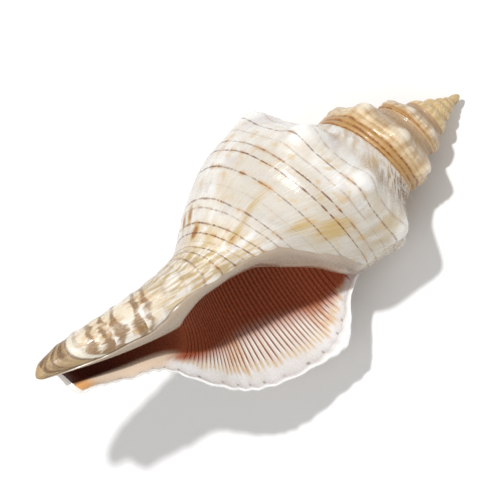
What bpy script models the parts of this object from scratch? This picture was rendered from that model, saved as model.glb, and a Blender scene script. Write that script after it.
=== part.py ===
"""A conch shell of the horse conch family, empty, lying on its back with the opening turned up.

The shell is one solid. Its wall is a coil: an outline called the section turns about the shell's
axis and shrinks on its way back from the lip to the apex. Ages are angles, counted back from the
outer lip. Depths are counted from the apex, down the axis. Lengths are in millimetres.
"""

import math

import bmesh
import bpy
import numpy as np

MM = 0.001
TURN = 2 * math.pi

# Coil
SUTURE_DEPTH = 64.5  # where the last whorl meets the one before it, at the lip
LATE_GROWTH = 1.81  # growth in a turn, over the last two whorls
EARLY_GROWTH = 1.50  # growth in a turn, over the spire
GROWTH_CHANGE_AGE = math.radians(680)
GROWTH_CHANGE_SPREAD = math.radians(80)
SPIRE_TURNS = 7.5

# Section landmarks as (depth, radius), at the lip, half a turn back and one turn back
SECTION = {
    "ramp": ((74.0, 34.0), (55.0, 25.5), (39.5, 18.0)),
    "shoulder": ((86.5, 43.6), (67.0, 34.6), (48.5, 26.8)),
    "periphery": ((101.5, 44.9), (82.0, 35.3), (61.0, 28.0)),
    "upper base": ((121.0, 39.3), (96.0, 27.5), (70.0, 26.5)),
    "base": ((132.5, 29.6), (108.0, 17.0), (80.0, 15.5)),
    "neck": ((143.7, 16.4), (119.0, 13.2), (99.0, 2.5)),
    "canal": ((157.0, 13.6), (148.5, 9.8), (128.0, 6.2)),
    "tip": ((174.0, 11.0), (178.0, 7.4), (178.5, 1.2)),
}
LANDMARKS = len(SECTION)
WHORL_LANDMARKS = 5  # the first five shrink with the whorl, and the others stay in the canal

# Knobs on the shoulder
KNOBS_PER_TURN = 8
FIRST_KNOB_AGE = math.radians(172.5)
KNOB_HEIGHT = 0.12  # of the shoulder's radius
KNOB_SHARPNESS = 1.6
KNOB_SPREAD = 0.55  # in landmarks, along the section

# Canal bend, sideways from the axis, at the tip
BEND_START_DEPTH = 111.5
BEND_END_DEPTH = 180.0
BEND_POWER = 1.6
BEND_TOWARD = (-8.8, 6.0)

# Rounding of the pillar's end
END_ROUNDING = 0.42  # share of the radius that is gone at the tip
END_ROUNDING_START = 7.45  # place on the section

# Opening
WALL = 2.7
LIP_WALL_SHARE = 0.8
CANAL_WALL_SHARE = 0.65
BODY_CAVITY_ANGLE = math.radians(330)
CANAL_CAVITY_ANGLE = math.radians(115)
LIP_BULGE = 0.45  # how far the rim stands past the lip, in wall thicknesses
PILLAR_END_BULGE = 1.0

# Mesh
COLUMNS_PER_TURN = 48
UPPER_ROWS = 7  # from the suture to the next whorl's suture
LOWER_ROWS = 20  # from there to the tip of the canal
CAVITY_COLUMNS = 24
RIM_CELLS = 3

# Rest
AXIS_ROLL = math.radians(-60.14)
SPIRE_LIFT = math.radians(-25.18)

SHELL_COLOUR = (0.80, 0.68, 0.52, 1.0)
SHELL_ROUGHNESS = 0.32


def clear_scene():
    for old in list(bpy.data.objects):
        bpy.data.objects.remove(old)


def shell_material():
    material = bpy.data.materials.new("shell")
    material.use_nodes = True
    finish = material.node_tree.nodes["Principled BSDF"]
    finish.inputs["Base Color"].default_value = SHELL_COLOUR
    finish.inputs["Roughness"].default_value = SHELL_ROUGHNESS
    finish.inputs["Metallic"].default_value = 0.0
    return material


def smooth_step(low, high, value):
    share = np.clip((value - low) / (high - low), 0, 1)
    return share * share * (3 - 2 * share)


def whorl_size(age):
    """Size of the whorl at this age, as a share of its size at the lip."""
    late = math.log(LATE_GROWTH) / TURN
    early = math.log(EARLY_GROWTH) / TURN

    def past_change(at):
        return GROWTH_CHANGE_SPREAD * np.logaddexp(0, (at - GROWTH_CHANGE_AGE) / GROWTH_CHANGE_SPREAD)

    return np.exp((late - early) * (past_change(age) - past_change(0.0)) - late * age)


def suture_depth(age):
    return SUTURE_DEPTH * whorl_size(age)


def section_landmarks(age):
    """Landmarks below the suture, as an array of (depth, radius), one row for each age."""
    back = np.clip(age, 0, TURN) / TURN
    at_lip = 2 * (back - 0.5) * (back - 1)
    at_half = 4 * back * (1 - back)
    at_turn = 2 * back * (back - 0.5)
    shrink = np.where(age > TURN, whorl_size(age) / whorl_size(TURN), 1.0)
    rows = []
    for number, (lip, half, turn) in enumerate(SECTION.values()):
        point = np.outer(at_lip, lip) + np.outer(at_half, half) + np.outer(at_turn, turn)
        if number < WHORL_LANDMARKS:
            point = point * shrink[:, None]
        rows.append(point)
    return np.stack(rows, axis=1)


def along(points, place):
    """Point on the smooth curve through points, which have one row for each place."""
    last = points.shape[1] - 1
    before = np.clip(np.floor(place).astype(int), 0, last - 1)
    rows = np.arange(len(points))
    here = points[rows, before]
    there = points[rows, before + 1]
    behind = np.where((before > 0)[:, None], points[rows, np.maximum(before - 1, 0)], 2 * here - there)
    ahead = np.where((before < last - 1)[:, None], points[rows, np.minimum(before + 2, last)], 2 * there - here)
    f = (place - before)[:, None]
    straight = 2 * here + (there - behind) * f
    bent = (2 * behind - 5 * here + 4 * there - ahead) * f**2
    twisted = (3 * here - behind - 3 * there + ahead) * f**3
    return 0.5 * (straight + bent + twisted)


def next_suture_place(age):
    """Place on the section, counted from its suture, that the next whorl's suture covers."""
    landmarks = section_landmarks(age)
    target = suture_depth(age - TURN)
    low = np.ones(len(age))
    high = np.full(len(age), 4.0)
    for _ in range(30):
        middle = (low + high) / 2
        above = along(landmarks, middle)[:, 0] < target
        low = np.where(above, middle, low)
        high = np.where(above, high, middle)
    return (low + high) / 2 + 1


def section(age):
    """The whole section: the suture, on the whorl before, and then the landmarks."""
    landmarks = section_landmarks(age)
    whorl_before = age + TURN
    seat = along(section_landmarks(whorl_before), next_suture_place(whorl_before) - 1)
    suture = np.stack([suture_depth(age), seat[:, 1]], axis=1)
    return np.concatenate([suture[:, None], landmarks], axis=1)


def knob_push(age, place, shoulder_radius):
    wave = ((1 + np.cos((age - FIRST_KNOB_AGE) * KNOBS_PER_TURN)) / 2) ** KNOB_SHARPNESS
    return KNOB_HEIGHT * shoulder_radius * wave * np.exp(-(((place - 2) / KNOB_SPREAD) ** 2))


def wall_surface(age, place, inset=0.0, knobs=1.0):
    """(depth, radius) on the outside of the wall, or inset into it, at flat arrays of ages and places."""
    points = section(age)
    spot = along(points, place)
    step = 0.001
    ahead = along(points, np.minimum(place + step, LANDMARKS))
    behind = along(points, np.maximum(place - step, 0))
    run = ahead - behind
    run /= np.linalg.norm(run, axis=1)[:, None]
    outward = np.stack([-run[:, 1], run[:, 0]], axis=1)
    push = knobs * knob_push(age, place, points[:, 2, 1]) - inset
    spot = spot + outward * push[:, None]
    to_end = np.clip((place - END_ROUNDING_START) / (LANDMARKS - END_ROUNDING_START), 0, 1)
    spot[:, 1] *= 1 - END_ROUNDING * to_end**2
    return spot


def in_space(age, spot):
    """Turns (depth, radius) at an age into a point, with the apex at the origin and the canal down."""
    below = np.clip((spot[:, 0] - BEND_START_DEPTH) / (BEND_END_DEPTH - BEND_START_DEPTH), 0, None)
    bend = below**BEND_POWER
    x = spot[:, 1] * np.cos(age) + BEND_TOWARD[0] * bend
    y = spot[:, 1] * np.sin(age) + BEND_TOWARD[1] * bend
    return np.stack([x, y, -spot[:, 0]], axis=1)


def section_places(age):
    """Places of the mesh rows on the section: upper rows end where the next whorl covers it."""
    covered = next_suture_place(np.maximum(age, TURN))
    upper = np.arange(UPPER_ROWS + 1) / UPPER_ROWS
    lower = np.arange(1, LOWER_ROWS + 1) / LOWER_ROWS
    upper_places = covered[:, None] * upper
    lower_places = covered[:, None] + (LANDMARKS - covered[:, None]) * lower
    return np.concatenate([upper_places, lower_places], axis=1)


def grid_points(age, place, inset=0.0, knobs=1.0):
    shape = place.shape
    ages = np.broadcast_to(age, shape).ravel()
    insets = np.broadcast_to(inset, shape).ravel()
    knob_shares = np.broadcast_to(knobs, shape).ravel()
    spots = wall_surface(ages, place.ravel(), insets, knob_shares)
    return in_space(ages, spots).reshape(shape + (3,))


class ShellMesh:
    """Collects vertices and faces of the shell's closed surface."""

    def __init__(self):
        self.vertices = []
        self.faces = []

    def add(self, point):
        self.vertices.append(np.asarray(point, float))
        return len(self.vertices) - 1

    def at(self, number):
        return self.vertices[number]

    def skin(self, grid):
        """Quads over a grid of vertex numbers."""
        for row, next_row in zip(grid[:-1], grid[1:]):
            for a, b, c, d in zip(row[:-1], row[1:], next_row[1:], next_row[:-1]):
                self.faces.append((a, b, c, d))

    def fan(self, loop, centre):
        hub = self.add(centre)
        for a, b in zip(loop, loop[1:] + loop[:1]):
            self.faces.append((a, b, hub))


def outside(mesh):
    """The outside, from the lip back to the apex. Each whorl's lowest row is the next whorl's suture."""
    last_row = UPPER_ROWS + LOWER_ROWS
    columns = int(COLUMNS_PER_TURN * SPIRE_TURNS)
    age = np.arange(columns + 1) * TURN / COLUMNS_PER_TURN
    points = grid_points(age[:, None], section_places(age))
    grid = []
    for column in range(columns + 1):
        rows = last_row if column <= COLUMNS_PER_TURN else UPPER_ROWS
        numbers = []
        for row in range(rows + 1):
            if column >= COLUMNS_PER_TURN and row == UPPER_ROWS:
                numbers.append(grid[column - COLUMNS_PER_TURN][0])
            else:
                numbers.append(mesh.add(points[column, row]))
        grid.append(numbers)
    mesh.skin(grid[: COLUMNS_PER_TURN + 1])
    mesh.skin([numbers[: UPPER_ROWS + 1] for numbers in grid[COLUMNS_PER_TURN:]])
    top_turn = grid[columns - COLUMNS_PER_TURN :]
    rim = [numbers[0] for numbers in top_turn] + grid[columns][1:UPPER_ROWS]
    mesh.fan(rim, (0, 0, 0))
    return grid


def cavity_ages(places):
    """How far back the hollow reaches, for each row, as ages at each cavity column."""
    in_canal = smooth_step(4.5, 6.5, places)
    reach = BODY_CAVITY_ANGLE + (CANAL_CAVITY_ANGLE - BODY_CAVITY_ANGLE) * in_canal
    return np.linspace(0, 1, CAVITY_COLUMNS + 1)[:, None] * reach, in_canal


def inner_floor(mesh, grid):
    """The inner side of the hollow: the whorl before and the pillar that the shell turns about."""
    places = section_places(np.array([TURN]))[0]
    back, _ = cavity_ages(places)
    knobs = np.exp(-6 * np.linspace(0, 1, CAVITY_COLUMNS + 1))[:, None]
    points = grid_points(TURN + back, np.broadcast_to(places, back.shape), 0.0, knobs)
    first = UPPER_ROWS + RIM_CELLS
    floor = [grid[COLUMNS_PER_TURN][first:]]
    for column in range(1, CAVITY_COLUMNS + 1):
        floor.append([mesh.add(point) for point in points[column, first:]])
    mesh.skin(floor)
    return floor


def inner_roof(mesh, floor):
    """The inner side of the outer wall. Its top row is the floor's top row."""
    places = section_places(np.array([0.0]))[0]
    back, in_canal = cavity_ages(places)
    wall = WALL * (LIP_WALL_SHARE + (1 - LIP_WALL_SHARE) * smooth_step(0.0, 0.5, back))
    wall = wall * (1 - (1 - CANAL_WALL_SHARE) * in_canal)
    points = grid_points(back, np.broadcast_to(places, back.shape), wall, 0.0)
    ease = UPPER_ROWS // 2
    roof = []
    for column in range(CAVITY_COLUMNS + 1):
        corner = mesh.at(floor[column][0])
        numbers = [floor[column][0]]
        for row in range(1, len(places)):
            share = min(row / ease, 1.0)
            target = points[column, max(row, ease)]
            numbers.append(mesh.add(corner + (target - corner) * share))
        roof.append(numbers)
    mesh.skin(roof)
    return roof


def lip_rim(mesh, grid, roof):
    """The edge of the opening: down the outer lip and along the end of the canal."""
    last_row = UPPER_ROWS + LOWER_ROWS
    outer = grid[0] + [grid[column][last_row] for column in range(1, CAVITY_COLUMNS + 1)]
    inner = roof[0] + [roof[column][last_row] for column in range(1, CAVITY_COLUMNS + 1)]
    seam = grid[COLUMNS_PER_TURN][UPPER_ROWS : UPPER_ROWS + RIM_CELLS + 1]
    rim = [seam]
    for number, (a, b) in enumerate(list(zip(outer, inner))[1:], start=1):
        wall = np.linalg.norm(mesh.at(a) - mesh.at(b))
        past_lip = np.array([0.0, -1.0, 0.0])
        past_tip = np.array([0.0, 0.0, -1.0])
        if number < last_row:
            way = past_lip
        elif number == last_row:
            way = (past_lip + past_tip) / math.sqrt(2)
        else:
            way = past_tip
        cells = [a]
        for cell in range(1, RIM_CELLS):
            share = cell / RIM_CELLS
            straight = mesh.at(a) * (1 - share) + mesh.at(b) * share
            cells.append(mesh.add(straight + way * wall * LIP_BULGE * math.sin(math.pi * share)))
        rim.append(cells + [b])
    mesh.skin(rim)
    return rim


def close_ends(mesh, grid, floor, roof, rim):
    """Closes the far end of the hollow and the end of the pillar at the canal's tip."""
    far_floor = floor[CAVITY_COLUMNS]
    loop = roof[CAVITY_COLUMNS] + far_floor[:0:-1]
    mesh.fan(loop, np.mean([mesh.at(number) for number in loop], axis=0))
    last_row = UPPER_ROWS + LOWER_ROWS
    loop = [grid[column][last_row] for column in range(CAVITY_COLUMNS, COLUMNS_PER_TURN + 1)]
    loop += [numbers[-1] for numbers in floor[1:]]
    loop += rim[-1][:0:-1]
    centre = np.mean([mesh.at(number) for number in loop], axis=0)
    mesh.fan(loop, centre - np.array([0.0, 0.0, PILLAR_END_BULGE]))


def laid_down(points):
    """Rolls the shell about its axis, lays the axis along X with the spire lifted, and sets it on the floor."""
    roll = np.array([
        [math.cos(AXIS_ROLL), -math.sin(AXIS_ROLL), 0],
        [math.sin(AXIS_ROLL), math.cos(AXIS_ROLL), 0],
        [0, 0, 1],
    ])
    tip = math.pi / 2 - SPIRE_LIFT
    lay = np.array([
        [math.cos(tip), 0, math.sin(tip)],
        [0, 1, 0],
        [-math.sin(tip), 0, math.cos(tip)],
    ])
    turned = points @ (lay @ roll).T
    low = turned.min(axis=0)
    high = turned.max(axis=0)
    return turned - np.array([(low[0] + high[0]) / 2, (low[1] + high[1]) / 2, low[2]])


def shell():
    mesh = ShellMesh()
    grid = outside(mesh)
    floor = inner_floor(mesh, grid)
    roof = inner_roof(mesh, floor)
    rim = lip_rim(mesh, grid, roof)
    close_ends(mesh, grid, floor, roof, rim)
    points = laid_down(np.array(mesh.vertices)) * MM
    data = bpy.data.meshes.new("shell")
    data.from_pydata([tuple(point) for point in points], [], mesh.faces)
    edit = bmesh.new()
    edit.from_mesh(data)
    bmesh.ops.recalc_face_normals(edit, faces=edit.faces)
    edit.to_mesh(data)
    edit.free()
    data.materials.append(shell_material())
    data.shade_smooth()
    made = bpy.data.objects.new("shell", data)
    bpy.context.scene.collection.objects.link(made)
    return made


clear_scene()
shell()
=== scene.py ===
# %% [markdown]
# # A conch shell, made from one turning outline
#
# A snail builds its shell by adding to the lip, a little all round the edge, while the lip turns
# about an axis and grows. So the whole shell is one outline, called the section here, which turns
# and shrinks on its way back from the lip to the apex. It could be sculpted, or cut from spheres
# and cones, but a formula gives the spiral for free, and every line that the snail left on the
# shell is then a line of constant age or of constant place on the section.
#
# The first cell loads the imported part, which gives the shell its size and place.

# %% Load the frame
import math
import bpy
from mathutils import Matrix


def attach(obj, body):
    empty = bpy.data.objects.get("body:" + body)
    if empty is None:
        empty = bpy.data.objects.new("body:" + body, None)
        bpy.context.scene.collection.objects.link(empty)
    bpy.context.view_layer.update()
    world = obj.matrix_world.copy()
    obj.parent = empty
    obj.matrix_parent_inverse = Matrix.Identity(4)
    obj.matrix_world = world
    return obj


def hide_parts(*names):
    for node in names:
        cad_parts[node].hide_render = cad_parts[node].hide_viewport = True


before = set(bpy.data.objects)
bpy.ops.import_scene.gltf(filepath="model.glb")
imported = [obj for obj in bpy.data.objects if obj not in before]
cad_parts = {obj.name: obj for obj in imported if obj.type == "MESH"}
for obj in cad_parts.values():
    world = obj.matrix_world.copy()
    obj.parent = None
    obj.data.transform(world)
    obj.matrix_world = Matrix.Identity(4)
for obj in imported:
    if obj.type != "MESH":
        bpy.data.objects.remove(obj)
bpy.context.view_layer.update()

from types import SimpleNamespace

import bpy
import numpy as np
from mathutils import Matrix, Vector

MM = 0.001
TURN = 2 * math.pi

# %% [markdown]
# ## The coil's measures
#
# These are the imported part's own measures, in millimetres, so both have one shape. Only the
# turns are half a turn fewer, because the smallest whorls are too small to see. Ages are angles,
# counted back from the outer lip, and depths run from the apex down the axis. The section has
# eight landmarks, given at the lip, half a turn back and one turn back. Three ages are enough:
# the outline changes slowly, and a parabola through the three does the rest.

# %% Coil and section
SUTURE_DEPTH = 64.5
LATE_GROWTH = 1.81
EARLY_GROWTH = 1.50
GROWTH_CHANGE_AGE = math.radians(680)
GROWTH_CHANGE_SPREAD = math.radians(80)
SPIRE_TURNS = 7.0
TIP_RISE = 0.45

SECTION = {
    "ramp": ((74.0, 34.0), (55.0, 25.5), (39.5, 18.0)),
    "shoulder": ((86.5, 43.6), (67.0, 34.6), (48.5, 26.8)),
    "periphery": ((101.5, 44.9), (82.0, 35.3), (61.0, 28.0)),
    "upper base": ((121.0, 39.3), (96.0, 27.5), (70.0, 26.5)),
    "base": ((132.5, 29.6), (108.0, 17.0), (80.0, 15.5)),
    "neck": ((143.7, 16.4), (119.0, 13.2), (99.0, 2.5)),
    "canal": ((157.0, 13.6), (148.5, 9.8), (128.0, 6.2)),
    "tip": ((174.0, 11.0), (178.0, 7.4), (178.5, 1.2)),
}
LANDMARKS = len(SECTION)
WHORL_LANDMARKS = 5

LIP_END_CUT = 3.6

BEND_START_DEPTH = 111.5
BEND_END_DEPTH = 180.0
BEND_POWER = 1.6
BEND_TOWARD = (-8.8, 6.0)

END_ROUNDING = 0.42
LIP_END_ROUNDING = -0.1
END_ROUNDING_START = 7.45

print("landmarks of the section:", list(SECTION))

# %% [markdown]
# ## How the whorls shrink
#
# Each whorl is the next one made smaller by the same share, so size falls as a power of the age.
# Old whorls of this shell shrink a little less than young ones, and logaddexp turns one rate
# softly into the other.

# %% Growth law
def smooth_step(low, high, value):
    """0 below low and 1 above high, with a soft rise between."""
    share = np.clip((value - low) / (high - low), 0, 1)
    return share * share * (3 - 2 * share)


def whorl_size(age):
    """Size of the whorl at this age, as a share of its size at the lip."""
    late = math.log(LATE_GROWTH) / TURN
    early = math.log(EARLY_GROWTH) / TURN

    def past_change(at):
        return GROWTH_CHANGE_SPREAD * np.logaddexp(0, (at - GROWTH_CHANGE_AGE) / GROWTH_CHANGE_SPREAD)

    return np.exp((late - early) * (past_change(age) - past_change(0.0)) - late * age)


def suture_depth(age):
    return SUTURE_DEPTH * whorl_size(age)


print("each whorl against the last:", [round(float(whorl_size(turn * TURN)), 3) for turn in range(5)])

# %% [markdown]
# ## One smooth line through the landmarks
#
# A Catmull-Rom curve passes through every landmark, so a measure taken from the real shell stays
# true. A Bezier curve would only be pulled towards its handles. The curve starts at the suture,
# which is the seam where each whorl is laid against the one before, so its first point is found
# on the older whorl. That is what makes the seams close with no gap.

# %% Section curve
SEARCH_STEPS = 30


def section_landmarks(age):
    """The eight landmarks at each age, as (depth, radius)."""
    back = np.clip(age, 0, TURN) / TURN
    at_lip = 2 * (back - 0.5) * (back - 1)
    at_half = 4 * back * (1 - back)
    at_turn = 2 * back * (back - 0.5)
    shrink = np.where(age > TURN, whorl_size(age) / whorl_size(TURN), 1.0)
    rows = []
    for number, (lip, half, turn) in enumerate(SECTION.values()):
        point = np.outer(at_lip, lip) + np.outer(at_half, half) + np.outer(at_turn, turn)
        if number < WHORL_LANDMARKS:
            point = point * shrink[:, None]
        rows.append(point)
    return np.stack(rows, axis=1)


def along(points, place):
    """Point on the smooth curve through points, which have one row for each place."""
    last = points.shape[1] - 1
    before = np.clip(np.floor(place).astype(int), 0, last - 1)
    rows = np.arange(len(points))
    here = points[rows, before]
    there = points[rows, before + 1]
    is_first = (before == 0)[:, None]
    is_last = (before == last - 1)[:, None]
    behind = np.where(is_first, 2 * here - there, points[rows, np.maximum(before - 1, 0)])
    ahead = np.where(is_last, 2 * there - here, points[rows, np.minimum(before + 2, last)])
    f = (place - before)[:, None]
    straight = 2 * here + (there - behind) * f
    bent = (2 * behind - 5 * here + 4 * there - ahead) * f**2
    twisted = (3 * here - behind - 3 * there + ahead) * f**3
    return 0.5 * (straight + bent + twisted)


def next_suture_place(age):
    """Place on the section that the next whorl's suture covers."""
    landmarks = section_landmarks(age)
    target = suture_depth(age - TURN)
    low = np.ones(len(age))
    high = np.full(len(age), 4.0)
    for _ in range(SEARCH_STEPS):
        middle = (low + high) / 2
        above = along(landmarks, middle)[:, 0] < target
        low = np.where(above, middle, low)
        high = np.where(above, high, middle)
    return (low + high) / 2 + 1


def section(age):
    """The whole outline at each age: the suture and then the landmarks."""
    landmarks = section_landmarks(age)
    whorl_before = age + TURN
    seat = along(section_landmarks(whorl_before), next_suture_place(whorl_before) - 1)
    suture = np.stack([suture_depth(age), seat[:, 1]], axis=1)
    return np.concatenate([suture[:, None], landmarks], axis=1)


print("radius at the shoulder, at the lip:", section(np.zeros(1))[0, 2, 1])

# %% [markdown]
# ## Relief: what stands up from the smooth wall
#
# Real relief catches the light and shows in the outline, which a bump texture can't do. So the
# knobs on the shoulder, the spiral cords of the spire, the folds that growth leaves, the fluted
# lip and the glaze laid over the inner lip are all moved vertices. Each is a small formula in age
# and place that returns millimetres. Only what is finer than the mesh is left to the materials.
#
# The knobs come first. The snail makes them by pushing its mantle out at the shoulder now and
# then, so each is placed by its age, as seen in the photo, with a wave between.

# %% Knobs
# Degrees back from the lip of each knob. Older knobs follow at the early gap.
KNOB_AGES = (
    -52.5, -7.5, 37.5, 82.5, 127.5, 172.5, 217.5, 262.5, 311, 356, 401, 448, 510, 562, 613, 668, 722,
)
EARLY_KNOB_GAP = 56
KNOB_HEIGHT = 0.13
KNOB_SHARPNESS = 2.1
KNOB_SPREAD = 0.5
SHOULDER_PLACE = 2
KNOB_WEAR = 0.86


def knob_shape(age, place):
    """1 on top of a knob and 0 between knobs."""
    degrees = np.degrees(age)
    number = np.interp(degrees, KNOB_AGES, np.arange(len(KNOB_AGES)))
    number = number + np.maximum(degrees - KNOB_AGES[-1], 0) / EARLY_KNOB_GAP
    wave = ((1 + np.cos(number * TURN)) / 2) ** KNOB_SHARPNESS
    return wave * np.exp(-((np.abs(place - SHOULDER_PLACE) / KNOB_SPREAD) ** 1.7))


def knob_push(age, place, shoulder_radius):
    worn = 1 - KNOB_WEAR * smooth_step(2.1 * TURN, 3.3 * TURN, age)
    return KNOB_HEIGHT * shoulder_radius * worn * knob_shape(age, place)


print("knobs placed from the photo:", len(KNOB_AGES))

# %% [markdown]
# ## Cords and folds
#
# Cords run round the spiral and are a wave in place. Folds of growth run along the old lips, so
# they are a wave in growth age, which is the age at which the lip passed a spot. Two waves whose
# lengths don't divide, each wandering a little, look as uneven as real growth.

# %% Cords and folds
CORD_HEIGHT = 0.32
CORD_SPACING = 0.27
CORD_FIRST_PLACE = 2.28
THREAD_HEIGHT = 0.035
CANAL_THREAD_HEIGHT = 0.16
FOLD_HEIGHT = 0.10

# How far a growth line leans back from the plane through the axis, as (place, degrees)
GROWTH_LINE = (
    (0.0, 0), (0.7, 11), (1.4, 21), (2.0, 26), (2.5, 27), (3.2, 24), (4.2, 16), (5.0, 8), (6.0, 0),
    (8.0, -5),
)


def cord_push(age, place):
    """Raised spiral cords below the shoulder of the spire, and faint threads on the last whorl."""
    wave = np.cos(TURN * (place - CORD_FIRST_PLACE) / CORD_SPACING)
    spire = smooth_step(0.85 * TURN, 1.1 * TURN, age) * np.sqrt(whorl_size(age) / whorl_size(TURN))
    spire = spire * (1 - smooth_step(2.6 * TURN, 3.6 * TURN, age))
    below_shoulder = smooth_step(1.9, 2.25, place)
    canal = smooth_step(5.2, 6.0, place) * (1 - smooth_step(7.6, 8.0, place)) * (age < TURN)
    threads = THREAD_HEIGHT * (age < TURN) + CANAL_THREAD_HEIGHT * canal
    return wave * (CORD_HEIGHT * spire * below_shoulder + threads)


def growth_age(age, place):
    """Age at which the lip passed this spot. Growth lines are lines of equal growth age."""
    places, lean = np.array(GROWTH_LINE).T
    return age - np.radians(np.interp(place, places, lean))


def growth_folds(age, place):
    """Folds along the old lips, strongest on the ramp above the shoulder."""
    slant = growth_age(age, place)
    wave = np.sin(slant * 61 + 1.3 * np.sin(slant * 17))
    wave = wave + 0.7 * np.sin(slant * 97 + 2.1 * np.sin(slant * 11))
    ramp = smooth_step(0.05, 0.5, place) * (1 - smooth_step(1.3, 2.0, place))
    late = smooth_step(math.radians(270), math.radians(305), age)
    late = late * (1 - smooth_step(TURN, 1.05 * TURN, age))
    size = np.clip(whorl_size(age) / whorl_size(0.5 * TURN), 0, 1)
    seam = smooth_step(0.0, 0.06, place) * (1 - smooth_step(0.12, 0.22, place))
    frill = seam * size * (0.18 + 0.12 * np.sin(age * 83 + 2 * np.sin(age * 29)))
    return wave * FOLD_HEIGHT * size * (0.35 + ramp * (1.0 + 2.6 * late)) + frill


print("lean of a growth line at the shoulder:", dict(GROWTH_LINE)[2.0], "degrees")

# %% [markdown]
# ## The outer lip
#
# The edge of the lip is scalloped by flutes, and it turns outwards a little over its last few
# millimetres. Both fade behind the lip as a bell curve.

# %% Flutes and flare
FLUTE_COUNT = 19
FLUTE_DEPTH = 0.24
FLUTE_REACH = math.radians(6)
FLUTE_FIRST_PLACE = 0.9
FLARE = 1.3
FLARE_REACH = math.radians(11)


def near_lip(age, reach):
    """1 at the lip and near 0 further back than the reach."""
    return np.exp(-((age / reach) ** 2))


def flute_number(place):
    """Whole on each flute, with gaps that are a little uneven."""
    along_lip = (place - FLUTE_FIRST_PLACE) / (LANDMARKS - FLUTE_FIRST_PLACE)
    return FLUTE_COUNT * along_lip + 0.3 * np.sin(place * 3.1)


def flutes(age, place):
    """The scalloped edge of the outer lip."""
    wave = np.cos(TURN * flute_number(place))
    along_lip = smooth_step(0.6, 1.2, place) * (1 - smooth_step(7.0, 7.6, place))
    return wave * FLUTE_DEPTH * near_lip(age, FLUTE_REACH) * along_lip


def flare(age, place):
    """The outer lip turns outwards a little over its last few millimetres."""
    along_lip = smooth_step(0.7, 1.5, place) * (1 - smooth_step(6.6, 7.6, place))
    return FLARE * along_lip * near_lip(age, FLARE_REACH)


print("flutes along the lip:", FLUTE_COUNT)

# %% [markdown]
# ## Glaze and canal end
#
# The glaze of the inner lip lies on the old surface like a thick coat of paint and hides what is
# under it. Near the canal's tip an older mouth edge shows as a low step. Both are lines on the
# shell, read from the photo: a table for the glaze and a parabola for the old edge. The
# materials use the same lines.

# %% Glaze, canal end and all the relief
GLAZE_THICKNESS = 0.28
GLAZE_EDGE_DEGREES = 7
GLAZE_RIPPLE_DEGREES = (2.0, 1.0)
GLAZE_GROOVE = 0.45
END_STEP = 0.5
OLD_EDGE_PLACE = 7.7
OLD_EDGE_AGE = 235
OLD_EDGE_SPREAD = 70
OLD_EDGE_CURVE = 0.2

# Where the glaze of the inner lip ends on the outside, as (place, degrees back from the lip)
GLAZE_EDGE = (
    (3.2, 332), (3.45, 314), (3.85, 299), (4.4, 284), (4.75, 271), (5.15, 261),
    (5.6, 260), (6.1, 255), (6.5, 251), (6.8, 262), (7.1, 284), (8.0, 302),
)


def past_end_step(age, place):
    """How far, in places, a spot lies past the old edge of the canal's mouth, near its tip."""
    off_middle = (np.degrees(age) - OLD_EDGE_AGE) / OLD_EDGE_SPREAD
    return place - (OLD_EDGE_PLACE - OLD_EDGE_CURVE * off_middle**2)


def glaze_distance(age, place):
    """Degrees past the edge of the inner lip's glaze. It is positive on the glaze."""
    places, edge = np.array(GLAZE_EDGE).T
    distance = np.degrees(age) - np.interp(place, places, edge)
    long_wave, short_wave = GLAZE_RIPPLE_DEGREES
    ripple = long_wave * np.sin(place * 7.0) + short_wave * np.sin(place * 19.0)
    above = 40 * np.clip(places[0] - place, 0, None) / 0.1
    return distance + ripple - above


def outside_relief(age, place, shoulder_radius):
    """All that stands up from the smooth wall, in millimetres."""
    last_whorl = age <= TURN
    edge = glaze_distance(age, place)
    glaze = smooth_step(0, GLAZE_EDGE_DEGREES, edge) * last_whorl
    push = knob_push(age, place, shoulder_radius) + flutes(age, place)
    push = push - FLUTE_DEPTH * near_lip(age, FLUTE_REACH)
    push = push + (1 - glaze) * (cord_push(age, place) + growth_folds(age, place))
    push = push + glaze * GLAZE_THICKNESS
    on_canal = smooth_step(6.3, 6.9, place) * last_whorl
    groove = np.exp(-(((edge - 1) / 3) ** 2)) * on_canal
    end = smooth_step(-0.01, 0.03, past_end_step(age, place)) * (1 - glaze)
    end = end * smooth_step(math.radians(105), math.radians(150), age)
    return push - GLAZE_GROOVE * groove - END_STEP * end * last_whorl + flare(age, place)


print("glaze edge at the base:", np.interp(5.0, *np.array(GLAZE_EDGE).T), "degrees back")

# %% [markdown]
# ## Points in space
#
# A section is flat, with a depth and a radius. Turning it by its age gives a point in space, and
# the canal leans a little to one side, as this shell's does. The normal of the section line says
# which way the relief pushes.
#
# Where the mouth narrows into the canal, the pillar is flat on the side of the mouth. One turning
# outline can't give that, so the side is trimmed to a plane whose distance from the axis changes
# with the depth.

# %% From age and place to points
# How far the pillar stands out on the side of the mouth, as (depth, millimetres from the axis)
FLAT_SIDE = (
    (84, 60.0), (90, 14.0), (93, 8.5), (98, 4.6), (103, 3.3), (108, 2.4), (118, 2.2), (122, 2.7),
    (126, 4.0), (130, 5.6), (136, 12.0),
)
FLAT_SIDE_AGE = math.radians(256)
FLAT_SIDE_SOFTNESS = 0.5
LEAST_SIDE = 0.15
PLACE_STEP = 0.001


def flatten_mouth_side(age, depth, radius):
    """Trims the pillar to a flat face where the mouth narrows into the canal."""
    side = np.sin(age - FLAT_SIDE_AGE)
    over = (radius * side - np.interp(depth, *np.array(FLAT_SIDE).T)) / FLAT_SIDE_SOFTNESS
    trim = FLAT_SIDE_SOFTNESS * np.logaddexp(0, over) / np.maximum(side, LEAST_SIDE)
    on_side = (age > FLAT_SIDE_AGE) & (age < FLAT_SIDE_AGE + TURN / 2)
    return radius - trim * on_side


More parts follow.
